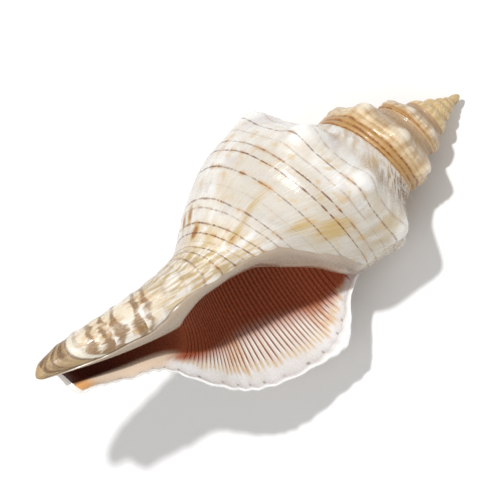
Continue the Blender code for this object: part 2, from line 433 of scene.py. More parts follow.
def wall_surface(age, place, push):
    """Points of the wall in millimetres, apex at the origin and canal down, pushed outwards.

    push is a function of age, place and shoulder radius that returns millimetres.
    """
    points = section(age)
    spot = along(points, place)
    run = along(points, np.minimum(place + PLACE_STEP, LANDMARKS))
    run -= along(points, np.maximum(place - PLACE_STEP, 0))
    run /= np.linalg.norm(run, axis=1)[:, None]
    outward = np.stack([-run[:, 1], run[:, 0]], axis=1)
    spot = spot + outward * push(age, place, points[:, 2, 1])[:, None]
    to_end = np.clip((place - END_ROUNDING_START) / (LANDMARKS - END_ROUNDING_START), 0, 1)
    from_lip = smooth_step(math.radians(20), math.radians(80), age)
    spot[:, 1] *= 1 - (LIP_END_ROUNDING + (END_ROUNDING - LIP_END_ROUNDING) * from_lip) * to_end**2
    cut = smooth_step(7.3, LANDMARKS, place)
    cut = cut * (1 - smooth_step(math.radians(40), math.radians(125), age))
    spot[:, 0] -= LIP_END_CUT * cut
    spot[:, 1] = flatten_mouth_side(age, spot[:, 0], spot[:, 1])
    depth, radius = spot.T
    bend = (depth - BEND_START_DEPTH) / (BEND_END_DEPTH - BEND_START_DEPTH)
    bend = np.clip(bend, 0, None) ** BEND_POWER
    x = radius * np.cos(age) + BEND_TOWARD[0] * bend
    y = radius * np.sin(age) + BEND_TOWARD[1] * bend
    return np.stack([x, y, -depth], axis=1)


def grid_points(age, place, push):
    """The same for a grid of any shape."""
    shape = np.broadcast(age, place).shape
    ages = np.broadcast_to(age, shape).ravel()
    places = np.broadcast_to(place, shape).ravel()
    return wall_surface(ages, places, push).reshape(shape + (3,))


lip_at_periphery = wall_surface(np.zeros(1), np.full(1, 3.0), outside_relief)[0]
print("lip at the periphery in mm:", lip_at_periphery.round(1))

# %% [markdown]
# ## A mesh that closes by counting
#
# The outside is one long ribbon that winds back to the apex. The lowest row of each older whorl
# is the suture row of the whorl that lies on it, so both use the same vertex numbers and the
# ribbon is welded as it is made. The lining is two more skins: the roof, which is the inner face
# of the outer wall, and the floor, which is the whorl before and the pillar. A rim joins roof and
# outside along the lip. Boolean cuts could make the opening too, but they leave long thin faces
# that shade badly.
#
# Each face corner also keeps its age and place, for the maps that the materials read later. So
# spiral lines follow the spiral and growth lines follow the old lips.

# %% Mesh collector
class ShellMesh:
    """Vertices, faces, the skin of each face, and the age and place of each face corner."""

    def __init__(self):
        self.vertices = []
        self.count = 0
        self.faces = []
        self.corners = []
        self.skins = []

    def add(self, points):
        """Adds points of any grid shape and returns their numbers in that shape."""
        flat = points.reshape(-1, 3)
        numbers = np.arange(self.count, self.count + len(flat))
        self.vertices.append(flat)
        self.count += len(flat)
        return numbers.reshape(points.shape[:-1])

    def points(self):
        return np.concatenate(self.vertices)

    def skin(self, numbers, age, place, skin):
        """Quads over a grid. age and place are grids of the same shape."""
        here = (slice(None, -1), slice(None, -1))
        below = (slice(None, -1), slice(1, None))
        beyond = (slice(1, None), slice(1, None))
        beside = (slice(1, None), slice(None, -1))
        corners = (here, below, beyond, beside)
        quads, ages, places = (
            np.stack([grid[corner] for corner in corners], axis=-1).reshape(-1, 4)
            for grid in (numbers, age, place)
        )
        self.faces.extend(quads.tolist())
        self.corners.append(np.stack([ages.ravel(), places.ravel()], axis=1))
        self.skins.extend([skin] * len(quads))

    def triangle(self, numbers, ages, places, skin):
        self.faces.append([int(number) for number in numbers])
        self.corners.append(np.stack([ages, places], axis=1))
        self.skins.append(skin)

    def zip_up(self, first, second, skin):
        """Joins two lines of vertices with triangles. A line is (numbers, keys, ages, places)."""
        a = b = 0
        last_a, last_b = len(first[0]) - 1, len(second[0]) - 1
        while a < last_a or b < last_b:
            end_a, end_b = a == last_a, b == last_b
            step_a = not end_a and (end_b or first[1][a + 1] <= second[1][b + 1])
            picks = [(first, a), (second, b), (first, a + 1) if step_a else (second, b + 1)]
            numbers = [line[0][at] for line, at in picks]
            ages = [line[2][at] for line, at in picks]
            places = [line[3][at] for line, at in picks]
            if len(set(numbers)) == 3:
                self.triangle(numbers, ages, places, skin)
            a += step_a
            b += not step_a

    def fan(self, loop, age, place, centre, skin):
        """Triangles from a closed loop of vertices to a new vertex at its centre."""
        hub = int(self.add(np.asarray(centre, float)[None])[0])
        for at in range(len(loop)):
            after = (at + 1) % len(loop)
            self.triangle([loop[at], loop[after], hub], [age[at], age[after], age[at]],
                          [place[at], place[after], place[at]], skin)


OUTSIDE, LINING = 0, 1
print("skins and their material slots:", {"outside": OUTSIDE, "lining": LINING})

# %% [markdown]
# ## The outside skin
#
# Rows lie close together where the cords are, and wider on the smooth ramp. The last whorl has
# extra rows down to the tip of the canal.

# %% Outside
COLUMNS = 192
RAMP_ROWS = 12
CORD_ROWS = 24
UPPER_ROWS = RAMP_ROWS + CORD_ROWS
LOWER_ROWS = 96
RAMP_END_PLACE = 1.95
RIM_CELLS = 6
APEX_RISES = (25, 48, 68)
APEX_PLACE = 0.3


def section_places(age):
    """Places of the mesh rows, for each age."""
    covered = next_suture_place(np.maximum(age, TURN))[:, None]
    ramp = np.linspace(0, RAMP_END_PLACE, RAMP_ROWS + 1)[None] + 0 * covered
    cords = RAMP_END_PLACE + (covered - RAMP_END_PLACE) * np.linspace(0, 1, CORD_ROWS + 1)[None, 1:]
    lower = covered + (LANDMARKS - covered) * np.linspace(0, 1, LOWER_ROWS + 1)[None, 1:]
    return np.concatenate([ramp, cords, lower], axis=1)


def make_outside(mesh):
    columns = int(COLUMNS * SPIRE_TURNS)
    age = np.arange(columns + 1) * TURN / COLUMNS
    places = section_places(age)
    ages = np.broadcast_to(age[:, None], places.shape)
    last_whorl = slice(0, COLUMNS + 1)
    numbers = np.full(places.shape, -1)
    whorl = grid_points(ages[last_whorl], places[last_whorl], outside_relief)
    keep = np.arange(places.shape[1]) != UPPER_ROWS
    numbers[:COLUMNS] = mesh.add(whorl[:COLUMNS])
    numbers[COLUMNS, keep] = mesh.add(whorl[COLUMNS, keep])
    upper = np.s_[COLUMNS + 1 :, :UPPER_ROWS]
    numbers[upper] = mesh.add(grid_points(ages[upper], places[upper], outside_relief))
    for column in range(COLUMNS, columns + 1):
        numbers[column, UPPER_ROWS] = numbers[column - COLUMNS, 0]
    mesh.skin(numbers[last_whorl], ages[last_whorl], places[last_whorl], OUTSIDE)
    spire = np.s_[COLUMNS:, : UPPER_ROWS + 1]
    mesh.skin(numbers[spire], ages[spire], places[spire], OUTSIDE)
    return numbers, age, places


def close_apex(mesh, numbers, age):
    """A small dome over the hole that is left where the ribbon begins."""
    loop = list(numbers[-1 - COLUMNS :, 0]) + list(numbers[-1, 1:UPPER_ROWS])
    loop_age = list(age[-1 - COLUMNS :]) + [age[-1]] * (UPPER_ROWS - 1)
    ring = np.array(loop + loop[:1])
    ring_age = np.array(loop_age + loop_age[:1])
    edge = mesh.points()[loop]
    for rise in APEX_RISES:
        shrink, lift = math.cos(math.radians(rise)), math.sin(math.radians(rise))
        height = edge[:, 2] * (1 - lift) + TIP_RISE * lift
        inner = mesh.add(np.column_stack([edge[:, :2] * shrink, height]))
        inner = np.append(inner, inner[0])
        ages = np.stack([ring_age, ring_age])
        mesh.skin(np.stack([ring, inner]), ages, np.full(ages.shape, APEX_PLACE), OUTSIDE)
        ring = inner
    mesh.fan(list(ring[:-1]), loop_age, [APEX_PLACE] * len(loop), (0, 0, TIP_RISE), OUTSIDE)


shell_mesh = ShellMesh()
outside, outside_age, outside_place = make_outside(shell_mesh)
close_apex(shell_mesh, outside, outside_age)
print("outside faces:", len(shell_mesh.faces))

# %% [markdown]
# ## The mouth's measures
#
# The inside of the mouth could be the outside moved in, but it has forms of its own: lirae,
# which are fine raised ribs that run from just inside the lip into the dark, and a wall that is
# thin at the lip and thickens inwards. So it gets its own rows and its own small formulas.

# %% Wall and ribs
WALL = 2.7
LIP_WALL_SHARE = 0.62
CANAL_WALL_SHARE = 0.65
BODY_REACH = math.radians(215)
CANAL_REACH = math.radians(120)
LINING_COLUMNS = 64
LIRA_FIRST_PLACE = 0.95
LIRA_LAST_PLACE = 5.8
LIRAE = 43
ROWS_PER_LIRA = 5
LIRA_HEIGHT = 0.32
LIRA_SHARPNESS = 1.5
LIP_CROWDING = 1.4


def in_canal(place):
    return smooth_step(4.5, 6.5, place)


def lining_ages(place):
    """Ages of the lining's columns behind the lip, which lie closest together at the lip."""
    share = np.linspace(0, 1, LINING_COLUMNS + 1)[:, None] ** LIP_CROWDING
    return share * (BODY_REACH + (CANAL_REACH - BODY_REACH) * in_canal(place))[None]


def wall_thickness(age, place):
    wall = WALL * (LIP_WALL_SHARE + (1 - LIP_WALL_SHARE) * smooth_step(0.0, 0.6, age))
    return wall * (1 - (1 - CANAL_WALL_SHARE) * in_canal(place))


def lira_number(row_place):
    return (row_place - LIRA_FIRST_PLACE) / (LIRA_LAST_PLACE - LIRA_FIRST_PLACE) * LIRAE


def lira_ridge(age, row_place):
    """1 on top of a rib and 0 between ribs, fading out towards the lip and at both ends of the row."""
    wave = (1 + np.cos(TURN * lira_number(row_place))) / 2
    ends = smooth_step(0.75, 1.1, row_place) * (1 - smooth_step(5.5, 5.8, row_place))
    return wave**LIRA_SHARPNESS * ends * smooth_step(math.radians(9), math.radians(20), age)


lip_wall = wall_thickness(np.zeros(1), np.full(1, 3.0))[0]
print("thickness of the lip in mm:", round(float(lip_wall), 2))

# %% [markdown]
# ## The floor of the mouth
#
# The floor is the older whorl and the pillar, which the animal has smoothed with glaze. It
# carries on from the outside one turn behind the lip, where the mouth begins to cover it. Knobs
# and glaze fade out within it.

# %% Floor of the mouth
def make_floor(mesh):
    places = outside_place[COLUMNS]
    first = UPPER_ROWS + RIM_CELLS
    age = TURN + lining_ages(places)
    place = np.broadcast_to(places, age.shape)

    def push(ages, row_places, shoulder_radius):
        fade = np.exp(-5 * (ages - TURN))
        knobs = knob_push(ages, row_places, shoulder_radius) * fade
        glaze = smooth_step(0, GLAZE_EDGE_DEGREES, glaze_distance(ages, row_places))
        return knobs + GLAZE_THICKNESS * glaze * fade

    points = grid_points(age[1:], place[1:], push)
    numbers = np.vstack([outside[COLUMNS][None], mesh.add(points)])
    mesh.skin(numbers[:, first:], age[:, first:], place[:, first:], LINING)
    return numbers, place, first


floor, floor_place, floor_first = make_floor(shell_mesh)
print("rows of the floor:", floor.shape[1] - floor_first)

# %% [markdown]
# ## The roof of the mouth
#
# The roof is the inner face of the outer wall and carries the ribs. Five rows to each rib keep
# every rib the same. The rows bend with the ribs, which fan out towards the base of the mouth,
# and they ease into the corner where roof and floor meet.

# %% Roof of the mouth
ROOF_RAMP_ROWS = 14
ROOF_CANAL_ROWS = 30
RIB_FAN = 0.5
FLUTES_INSIDE = 0.8
CORNER_END_PLACE = 1.25
CORNER_AIM_PLACE = 0.7


def roof_row_places():
    """Places of the roof's rows at the lip: the ramp, the ribs and then the canal."""
    ribs = np.linspace(LIRA_FIRST_PLACE, LIRA_LAST_PLACE, LIRAE * ROWS_PER_LIRA + 1)
    ramp = np.linspace(0, LIRA_FIRST_PLACE, ROOF_RAMP_ROWS + 1)[:-1]
    canal = np.linspace(LIRA_LAST_PLACE, LANDMARKS, ROOF_CANAL_ROWS + 1)[1:]
    return np.concatenate([ramp, ribs, canal])


def make_roof(mesh, floor, floor_first):
    rows = roof_row_places()
    age = lining_ages(rows)
    fan_out = smooth_step(3.0, 5.4, rows) * (1 - smooth_step(6.0, 7.2, rows))
    place = rows[None] - RIB_FAN * fan_out * smooth_step(0, math.radians(55), age)

    def push(ages, row_places, shoulder_radius):
        row = np.tile(rows, LINING_COLUMNS + 1)
        inset = wall_thickness(ages, row_places) + LIRA_HEIGHT * lira_ridge(ages, row)
        return flare(ages, row) + flutes(ages, row) * FLUTES_INSIDE - inset

    points = grid_points(age, place, push)
    corner = mesh.points()[floor[:, floor_first]][:, None]
    ease = np.sin(np.clip(rows / CORNER_END_PLACE, 0, 1) * math.pi / 2)[None, :, None]
    aim_row = np.argmax(rows > CORNER_AIM_PLACE)
    target = points.copy()
    target[:, :aim_row] = points[:, aim_row][:, None]
    points = corner + (target - corner) * ease
    numbers = np.hstack([floor[:, floor_first][:, None], mesh.add(points[:, 1:])])
    row_place = np.broadcast_to(rows, age.shape)
    mesh.skin(numbers, age, row_place, LINING)
    return numbers, age, row_place


roof, roof_age, roof_place = make_roof(shell_mesh, floor, floor_first)
print("rib spacing at the lip, in places:", round((LIRA_LAST_PLACE - LIRA_FIRST_PLACE) / LIRAE, 3))

# %% [markdown]
# ## The rim
#
# The rim starts at the outside's first column and rolls over to the roof. The outside and the
# roof have different numbers of rows there, so the last strip is zipped up: the next triangle
# always goes to the line that is further behind.

# %% Rim
RIM_BULGE = 0.95
SCALLOP_SHARE = 0.8
canal_columns = int(round(CANAL_REACH / TURN * COLUMNS))


def make_rim(mesh):
    points = mesh.points()
    outer = np.concatenate([outside[0], outside[1 : canal_columns + 1, -1]])
    outer_key = np.concatenate([outside_place[0], LANDMARKS + outside_age[1 : canal_columns + 1]])
    outer_place = np.concatenate([outside_place[0], np.full(canal_columns, float(LANDMARKS))])
    inner = np.concatenate([roof[0], roof[1:, -1]])
    inner_key = np.concatenate([roof_place[0], LANDMARKS + roof_age[1:, -1]])
    inner_place = np.concatenate([roof_place[0], np.full(LINING_COLUMNS, float(LANDMARKS))])
    facing = np.stack([np.interp(outer_key, inner_key, side) for side in points[inner].T], axis=1)
    start = points[outer]
    wall = np.linalg.norm(facing - start, axis=1)[:, None]
    past_tip = smooth_step(LANDMARKS - 0.25, LANDMARKS + 0.1, outer_key)[:, None]
    way = np.array([[0.0, -1.0, 0.0]]) * (1 - past_tip) + np.array([[0.0, 0.0, -1.0]]) * past_tip
    scallop = flutes(np.zeros(len(outer_key)), outer_place)[:, None] * (1 - past_tip)
    lines = [outer]
    for cell in range(1, RIM_CELLS):
        share = cell / RIM_CELLS
        swell = math.sin(math.pi * share)
        bulge = way * swell * (wall * RIM_BULGE + SCALLOP_SHARE * scallop)
        ring = start * (1 - share) + facing * share + bulge
        line = np.concatenate([[outside[COLUMNS][UPPER_ROWS + cell]], mesh.add(ring[1:])])
        lines.append(line)
    grid = np.stack(lines)
    ages = np.zeros(grid.shape)
    places = np.broadcast_to(outer_place, grid.shape)
    mesh.skin(grid, ages, places, LINING)
    last = (list(lines[-1]), list(outer_key), [0.0] * len(outer), list(outer_place))
    mesh.zip_up(last, (list(inner), list(inner_key), [0.0] * len(inner), list(inner_place)), LINING)
    return lines


rim_lines = make_rim(shell_mesh)
print("rows of faces round the rim:", RIM_CELLS)

# %% [markdown]
# ## The closed ends
#
# Deep inside, out of sight, the gap between roof and floor is zipped up too. The tip of the
# canal is a loop of the outside, the floor and the rim, and rings that shrink towards its middle
# close it as a rounded end.

# %% Ends
TIP_RINGS = ((0.93, 0.5), (0.78, 1.2), (0.55, 2.0), (0.3, 2.6))
TIP_DROP = 2.9
TIP_AGE = TURN * 0.75


def close_ends(mesh):
    points = mesh.points()
    deep_place = floor_place[-1, floor_first:]
    deep_key = (deep_place - deep_place[0]) / (LANDMARKS - deep_place[0])
    deep_age = np.full(len(deep_place), roof_age[-1, 0])
    roof_line = (roof[-1], roof_place[-1] / LANDMARKS, roof_age[-1], roof_place[-1])
    floor_line = (floor[-1, floor_first:], deep_key, deep_age, deep_place)
    mesh.zip_up([list(part) for part in roof_line], [list(part) for part in floor_line], LINING)
    loop = list(outside[canal_columns : COLUMNS + 1, -1]) + list(floor[1:, -1]) + [roof[-1, -1]]
    loop += [line[-1] for line in rim_lines[:0:-1]]
    centre = points[loop].mean(axis=0)
    ring = np.array(loop)
    for share, drop in TIP_RINGS:
        inner = mesh.add(centre + (points[loop] - centre) * share - np.array([0, 0, drop]))
        strip = np.stack([np.append(ring, ring[0]), np.append(inner, inner[0])])
        mesh.skin(strip, np.full(strip.shape, TIP_AGE), np.full(strip.shape, float(LANDMARKS)), OUTSIDE)
        ring = inner
    sides = len(loop)
    end = centre - np.array([0, 0, TIP_DROP])
    mesh.fan(list(ring), [TIP_AGE] * sides, [float(LANDMARKS)] * sides, end, OUTSIDE)


close_ends(shell_mesh)
print("faces in all:", len(shell_mesh.faces), "vertices:", shell_mesh.count)

# %% [markdown]
# ## Laying the shell down
#
# Empty, such a shell rolls onto its back until two knobs and the spire touch the table. The
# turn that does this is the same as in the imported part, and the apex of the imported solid, its
# point furthest along X, says where the apex goes.

# %% Lying pose
AXIS_ROLL = math.radians(-60.14)
SPIRE_LIFT = math.radians(-25.18)


def laying_turn():
    """Rolls the shell about its own axis and then tips the axis over."""
    roll = np.array([
        [math.cos(AXIS_ROLL), -math.sin(AXIS_ROLL), 0],
        [math.sin(AXIS_ROLL), math.cos(AXIS_ROLL), 0],
        [0, 0, 1],
    ])
    tip = math.pi / 2 - SPIRE_LIFT
    lay_over = np.array([
        [math.cos(tip), 0, math.sin(tip)],
        [0, 1, 0],
        [-math.sin(tip), 0, math.cos(tip)],
    ])
    return lay_over @ roll


def apex_place():
    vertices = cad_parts["shell"].data.vertices
    return np.array(max((vertex.co for vertex in vertices), key=lambda co: co.x))


print("apex in the lying pose, in mm:", (apex_place() / MM).round(1))

# %% [markdown]
# ## Guides for the lines and patches
#
# The brown lines are not evenly spaced, so a table gives each one's place and strength where the
# last whorl faces the camera. Counting the lines, with a fraction between them, gives one number
# that a material can read. On the base they slope against the mesh rows, by the second table.
# Patches are soft ellipses in age and place.

# %% Guides for lines and patches
# The fine brown spiral lines where the last whorl faces the camera, as (place, strength)
SPIRAL_LINES = (
    (0.2, 0.0), (1.0, 0.0), (1.9, 0.35), (2.25, 0.75), (2.55, 0.25), (2.87, 0.95), (3.12, 0.95),
    (3.6, 1.0), (4.0, 0.1), (4.37, 0.8), (4.57, 0.5), (4.9, 1.0), (5.15, 1.0), (5.42, 0.3),
    (5.66, 0.9), (5.9, 0.85), (6.13, 0.75), (6.36, 0.2), (6.6, 0.2), (6.82, 0.9), (6.93, 1.0),
    (7.18, 1.0), (7.3, 1.0), (7.46, 1.0), (7.62, 0.5), (8.0, 0.5),
)
LINE_FACING_AGE = 225

# How far a spiral line climbs in 90 degrees of age, as (place, places)
LINE_CLIMB = (
    (0.0, 0.05), (3.1, 0.05), (3.6, 0.22), (3.9, 0.22), (4.4, 0.34), (5.8, 0.34), (6.3, 0.5),
    (6.9, 0.46), (7.2, 0.32), (7.5, 0.25), (8.0, 0.2),
)
LINE_HALF_WIDTH = 0.023

# The patches, as (degrees back, place, half size in degrees, half size in places, strength)
STAINS = (
    (277, 3.4, 10, 0.6, 0.85), (262, 3.95, 6, 0.45, 0.7), (255, 3.0, 6, 0.2, 0.5),
    (226, 4.3, 4, 0.9, 0.6), (226, 5.05, 5, 0.22, 0.9), (176, 4.95, 4, 0.2, 2.4),
    (162, 4.45, 3.2, 0.19, 2.2), (151, 4.5, 3, 0.19, 2.2), (207, 5.4, 7, 0.4, 0.5),
    (218, 5.75, 4, 0.4, 0.6), (238, 5.8, 4, 0.4, 0.5), (190, 5.75, 6, 0.25, 0.6),
    (245, 4.9, 3, 0.6, 0.4), (196, 5.0, 4, 0.35, 0.5), (258, 0.9, 7, 0.5, 0.6),
    (238, 2.2, 6, 0.12, 0.5),
)


def thread_number(age, place):
    """Whole on each fine spiral line. The lines slope a little against the mesh rows on the base."""
    climb = np.interp(place, *np.array(LINE_CLIMB).T)
    from_facing = (np.clip(np.degrees(age), 60, 330) - LINE_FACING_AGE) / 90
    read_place = place - climb * from_facing
    body = np.interp(read_place, np.array(SPIRAL_LINES)[:, 0], np.arange(len(SPIRAL_LINES)))
    spire = (place - CORD_FIRST_PLACE) / CORD_SPACING + 2.5
    in_spire = smooth_step(math.radians(345), math.radians(380), age)
    return body * (1 - in_spire) + spire * in_spire


def line_ink(age, place):
    """Strength of the nearest spiral line, and its half width as a share of the gap between lines."""
    thread = thread_number(age, place)
    strength = np.interp(thread, np.arange(len(SPIRAL_LINES)), np.array(SPIRAL_LINES)[:, 1])
    in_spire = smooth_step(math.radians(325), math.radians(365), age)
    low_on_whorl = 0.3 + 0.7 * smooth_step(2.4, 2.65, place)
    strength = strength * (1 - in_spire) + low_on_whorl * in_spire
    step = 0.01
    per_place = (thread_number(age, place + step) - thread_number(age, place - step)) / (2 * step)
    uneven = 1 + 0.6 * np.sin(age * 5 + thread * 2.1)
    facing = 0.5 + smooth_step(math.radians(190), math.radians(260), age)
    on_canal = smooth_step(6.6, 6.8, place) * (age < TURN)
    old_spire = smooth_step(1.9 * TURN, 2.1 * TURN, age)
    wide = 1 + 1.4 * uneven * facing * on_canal + 1.3 * in_spire + 2.4 * old_spire
    return strength, LINE_HALF_WIDTH * wide * per_place


def stains(age, place):
    """Strength of the ochre and brown patches."""
    total = np.zeros(len(age))
    for at_age, at_place, half_age, half_place, strength in STAINS:
        off = ((np.degrees(age) - at_age) / half_age) ** 2 + ((place - at_place) / half_place) ** 2
        total = total + strength * np.exp(-off)
    return total


print("lines and patches:", len(SPIRAL_LINES), len(STAINS))

# %% [markdown]
# ## The mesh object
#
# The materials need to know where on the coil each spot is. Vertex colours could tell them, but
# UV maps hold full numbers. Each face corner has two numbers in each map, so a seam can have one
# value on one side and another on the other.

# %% Build the object
NO_GLAZE = -10.0
GLAZE_MAP_DEGREES = 10


def place_in_scene(name, data):
    made = bpy.data.objects.new(name, data)
    bpy.context.scene.collection.objects.link(made)
    return made


def guide_maps(age, place, no_glaze):
    """The maps that the materials read, each as two values for every face corner."""
    glaze = np.where(no_glaze, NO_GLAZE, glaze_distance(age, place) / GLAZE_MAP_DEGREES)
    return {
        "Coil": (age / TURN, place),
        "Lines": (growth_age(age, place) / TURN, thread_number(age, place)),
        "Ink": line_ink(age, place),
        "Marks": (glaze, stains(age, place)),
        "Edges": (past_end_step(age, place), flute_number(place)),
        "Knobs": (knob_shape(age, place), np.zeros(len(age))),
    }


def build_shell(mesh):
    points = (mesh.points() @ laying_turn().T) * MM + apex_place()
    points[:, 2] -= points[:, 2].min()
    data = bpy.data.meshes.new("shell_skin")
    data.from_pydata(points.tolist(), [], mesh.faces)
    data.polygons.foreach_set("material_index", mesh.skins)
    age, place = np.concatenate(mesh.corners).T
    skins = np.repeat(mesh.skins, [len(face) for face in mesh.faces])
    older = (skins == OUTSIDE) & (age > TURN)
    for name, values in guide_maps(age, place, older).items():
        layer = data.uv_layers.new(name=name)
        layer.uv.foreach_set("vector", np.stack(values, axis=1).ravel())
    data.validate()
    data.shade_smooth()
    return place_in_scene("shell_skin", data)


shell = build_shell(shell_mesh)
print("shell size in mm:", [round(side / MM, 1) for side in shell.dimensions])

# %% [markdown]
# ## Faces turned outwards
#
# The skins were numbered in whatever order was easiest, so some face inwards. Every edge has
# two faces when the shell closes, and then Blender can turn them all the same way.

# %% Check the mesh and turn its faces
import bmesh

edit = bmesh.new()
edit.from_mesh(shell.data)
open_edges = sum(1 for edge in edit.edges if len(edge.link_faces) != 2)
bmesh.ops.recalc_face_normals(edit, faces=edit.faces)
edit.to_mesh(shell.data)
edit.free()
print("open edges:", open_edges, "triangles:", sum(len(face) - 2 for face in shell_mesh.faces))

# %% [markdown]
# ## Paint and values
#
# A material is a graph, and written out one node at a time it is hard to follow. Here a Value
# stands for one output of a node, and adding or multiplying Values makes the Math nodes. Then an
# effect can be read as a formula. The Value knows its tree, so the helpers needn't be told.

# %% Paint and values
def paint(red, green, blue):
    """Colour from the 0..255 numbers of an sRGB picker, as the linear colour that a shader wants."""

    def linear(value):
        share = value / 255
        return share / 12.92 if share <= 0.04045 else ((share + 0.055) / 1.055) ** 2.4

    return (linear(red), linear(green), linear(blue), 1.0)


class Value:
    """One output of a node. Arithmetic with it adds Math nodes to the same tree."""

    def __init__(self, socket):
        self.socket = socket
        self.tree = socket.id_data

    def __add__(self, other):
        return calc("ADD", self, other)

    def __sub__(self, other):
        return calc("SUBTRACT", self, other)

    def __rsub__(self, other):
        return calc("SUBTRACT", other, self)

    def __mul__(self, other):
        return calc("MULTIPLY", self, other)

    def __abs__(self):
        return calc("ABSOLUTE", self)


def give(value, socket):
    """Links a Value to a socket, or sets the socket to a plain number or colour."""
    if isinstance(value, Value):
        value.tree.links.new(value.socket, socket)
    else:
        socket.default_value = value


def add_node(kind, *given):
    """Adds a node to the tree that the given values come from."""
    tree = next(value.tree for value in given if isinstance(value, Value))
    return tree.nodes.new(kind)


def calc(operation, *values):
    node = add_node("ShaderNodeMath", *values)
    node.operation = operation
    for value, socket in zip(values, node.inputs):
        give(value, socket)
    return Value(node.outputs[0])


print("a picker's middle grey for a shader:", [round(part, 3) for part in paint(128, 128, 128)])

# %% [markdown]
# ## Masks, noise and layers
#
# A finish is painted in layers, as a model maker would: a mask says where, and a tone says what.
# fade turns a range of values softly into a mask, mottle is noise at a spot, and lay puts one
# layer over another.

# %% Masks, noise and layers
def fade(value, low, high, low_out=0.0, high_out=1.0):
    node = add_node("ShaderNodeMapRange", value)
    node.interpolation_type = "SMOOTHSTEP"
    names = ("Value", "From Min", "From Max", "To Min", "To Max")
    for given, name in zip((value, low, high, low_out, high_out), names):
        give(given, node.inputs[name])
    return Value(node.outputs["Result"])


def blend(mask, first, second):
    """The first colour where the mask is 0 and the second where it is 1."""
    node = add_node("ShaderNodeMix", mask)
    node.data_type = "RGBA"
    for value, socket in ((mask, node.inputs[0]), (first, node.inputs[6]), (second, node.inputs[7])):
        give(value, socket)
    return Value(node.outputs[2])


def lay(colour, *layers):
    """Lays layers over a colour, each given as (mask, tone)."""
    for mask, tone in layers:
        colour = blend(mask, colour, tone)
    return colour


def at(x, y, z=0.0):
    node = add_node("ShaderNodeCombineXYZ", x)
    for value, socket in zip((x, y, z), node.inputs):
        give(value, socket)
    return Value(node.outputs[0])


def mottle(spot, scale=1.0, detail=2.0, roughness=0.5):
    """Soft random value round 0.5 at a spot."""
    node = add_node("ShaderNodeTexNoise", spot)
    give(spot, node.inputs["Vector"])
    for value, name in ((scale, "Scale"), (detail, "Detail"), (roughness, "Roughness")):
        give(value, node.inputs[name])
    return Value(node.outputs["Fac"])


def read_map(tree, name):
    """The two values of a UV map."""
    uv = tree.nodes.new("ShaderNodeUVMap")
    uv.uv_map = name
    split = tree.nodes.new("ShaderNodeSeparateXYZ")
    tree.links.new(uv.outputs[0], split.inputs[0])
    return Value(split.outputs[0]), Value(split.outputs[1])


print("maps that the finishes can read:", [layer.name for layer in shell.data.uv_layers])

# %% [markdown]
# ## Groups
#
# Both finishes share growth streaks and grain. Such an effect is built once, as a node group with
# named inputs and outputs, and each material then places it with its own values.

# %% Group helpers
def new_group(name, inputs, outputs):
    """An empty group, its inputs as Values, and its output sockets."""
    group = bpy.data.node_groups.new(name, "ShaderNodeTree")
    for socket_name, value in inputs.items():
        socket = group.interface.new_socket(socket_name, in_out="INPUT", socket_type="NodeSocketFloat")
        socket.default_value = value
    for socket_name in outputs:
        group.interface.new_socket(socket_name, in_out="OUTPUT", socket_type="NodeSocketFloat")
    entry = group.nodes.new("NodeGroupInput")
    leave = group.nodes.new("NodeGroupOutput")
    return group, [Value(entry.outputs[name]) for name in inputs], leave.inputs


def use_group(tree, group, **values):
    """Places a group in a material. An underscore in a name stands for a space."""
    node = tree.nodes.new("ShaderNodeGroup")
    node.node_tree = group
    for name, value in values.items():
        give(value, node.inputs[name.replace("_", " ")])
    return {socket.name: Value(socket) for socket in node.outputs}


print("groups so far:", len(bpy.data.node_groups))

# %% [markdown]
# ## Growth streaks
#
# The lip adds a strip of shell at a time, and each strip has its own shade and height. Along a
# growth line nothing changes quickly and across it everything does, so the noise is stretched:
# many times finer over the age than over the place. Both finishes use this group.

# %% Growth streaks group
def make_growth_streaks():
    inputs = {"Growth": 0.0, "Place": 0.0}
    group, (growth, place), out = new_group("growth streaks", inputs, ("Fine", "Broad", "Height"))
    wander = mottle(at(growth * 30.0, place)) - 0.5
    growth = growth + wander * 0.006
    fine = mottle(at(growth * 330.0, place * 1.1), detail=3.0, roughness=0.6)
    broad = mottle(at(growth * 42.0, place * 0.7, 5.0), detail=3.0, roughness=0.55)
    ridge = mottle(at(growth * 150.0, place * 0.5, 9.0), detail=4.0, roughness=0.6)
    give(fade(fine, 0.3, 0.72), out["Fine"])
    give(fade(broad, 0.36, 0.68), out["Broad"])
    give(fine * 0.4 + ridge * 0.6, out["Height"])
    return group


growth_streaks = make_growth_streaks()
print("growth streaks nodes:", len(growth_streaks.nodes))

# %% [markdown]
# ## Fine spiral lines
#
# The animal's mantle lays the same brown pigment at the same places on the lip, day after day,
# which draws lines round the spiral. The pigment comes and goes, so the lines are dashed. One
# number per line, stored on the mesh, is enough: the line is where that number is whole.

